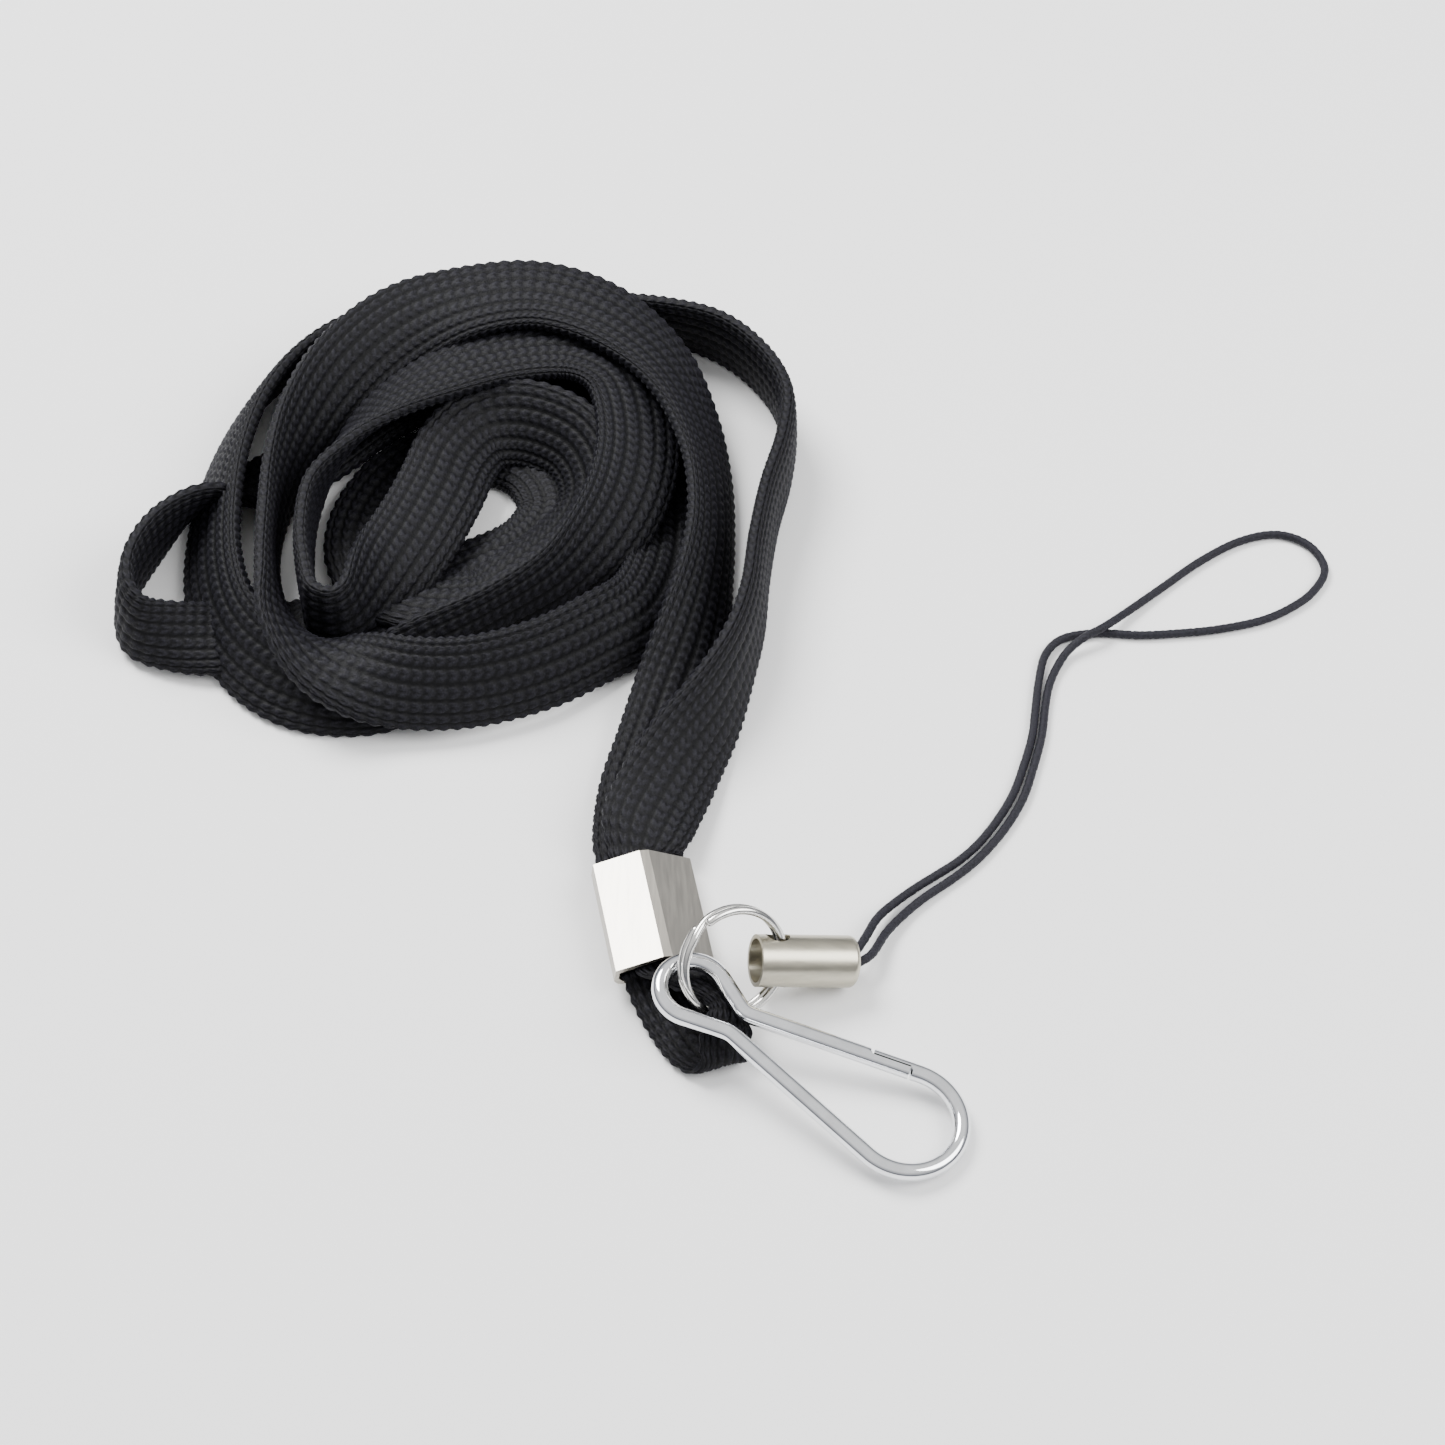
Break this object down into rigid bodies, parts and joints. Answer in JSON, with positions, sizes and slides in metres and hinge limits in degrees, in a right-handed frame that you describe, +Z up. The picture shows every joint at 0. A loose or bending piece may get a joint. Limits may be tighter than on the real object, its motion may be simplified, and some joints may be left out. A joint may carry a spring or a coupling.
{
  "type": "neck lanyard",
  "caption": "Black knitted neck lanyard wound into a bundle, with a crimp sleeve, split ring, wire snap clip and a phone loop on an end cap.",
  "frame": {"origin": "centre of the box around the strap and the metal parts, on the surface that the lanyard lies on; the loop cord and its knot are left out of the box", "axes": "+X to the right, +Y from the hardware end towards the far side of the bundle, +Z up from the surface"},
  "size_m": [0.1421, 0.127, 0.013],
  "materials": {
    "strap_knit": "knitted, matt",
    "sleeve_steel": "brushed",
    "clip_chrome": "chrome plated",
    "ring_nickel": "nickel plated",
    "cap_nickel": "satin nickel plated",
    "cord_braid": "braided, matt"
  },
  "bodies": {
    "strap": {"strap_coil": "strap_knit", "strap_side_loop": "strap_knit", "strap_outer_loop": "strap_knit", "strap_tail_lower": "strap_knit", "strap_tail_upper": "strap_knit", "strap_in_crimp": "strap_knit", "strap_bight": "strap_knit", "crimp_sleeve": "sleeve_steel"},
    "ring": {"split_ring": "ring_nickel"},
    "clip": {"snap_clip": "clip_chrome"},
    "gate": {"clip_gate": "clip_chrome"},
    "cap": {"end_cap": "cap_nickel"},
    "cord": {"loop_cord": "cord_braid", "cord_knot": "cord_braid"}
  },
  "joints": [
    {"name": "ring_swing", "type": "hinge", "parent": "strap", "child": "ring", "pos_m": [0.0223, -0.0437, 0.0026], "axis": [-0.6231, -0.7821, 0], "range_deg": [0, 30], "deforming": ["strap_bight"]},
    {"name": "clip_swing", "type": "hinge", "parent": "ring", "child": "clip", "pos_m": [0.0185, -0.0422, 0.0073], "axis": [-0.5051, -0.8631, 0], "range_deg": [0, 25]},
    {"name": "gate_flex", "type": "hinge", "parent": "clip", "child": "gate", "pos_m": [0.02555, -0.0459, 0.00529], "axis": [-0.1438, 0.0844, -0.986], "range_deg": [0, 15], "stiffness_Nm_per_rad": 0.01},
    {"name": "cap_swing", "type": "hinge", "parent": "ring", "child": "cap", "pos_m": [0.0281, -0.03855, 0.00495], "axis": [0.0933, 0.6222, 0.7772], "range_deg": [-35, 0]},
    {"name": "cord_swivel", "type": "hinge", "parent": "cap", "child": "cord", "pos_m": [0.03649, -0.03706, 0.00275], "axis": [0.9531, 0.1698, -0.2504], "range_deg": [0, 90]}
  ]
}
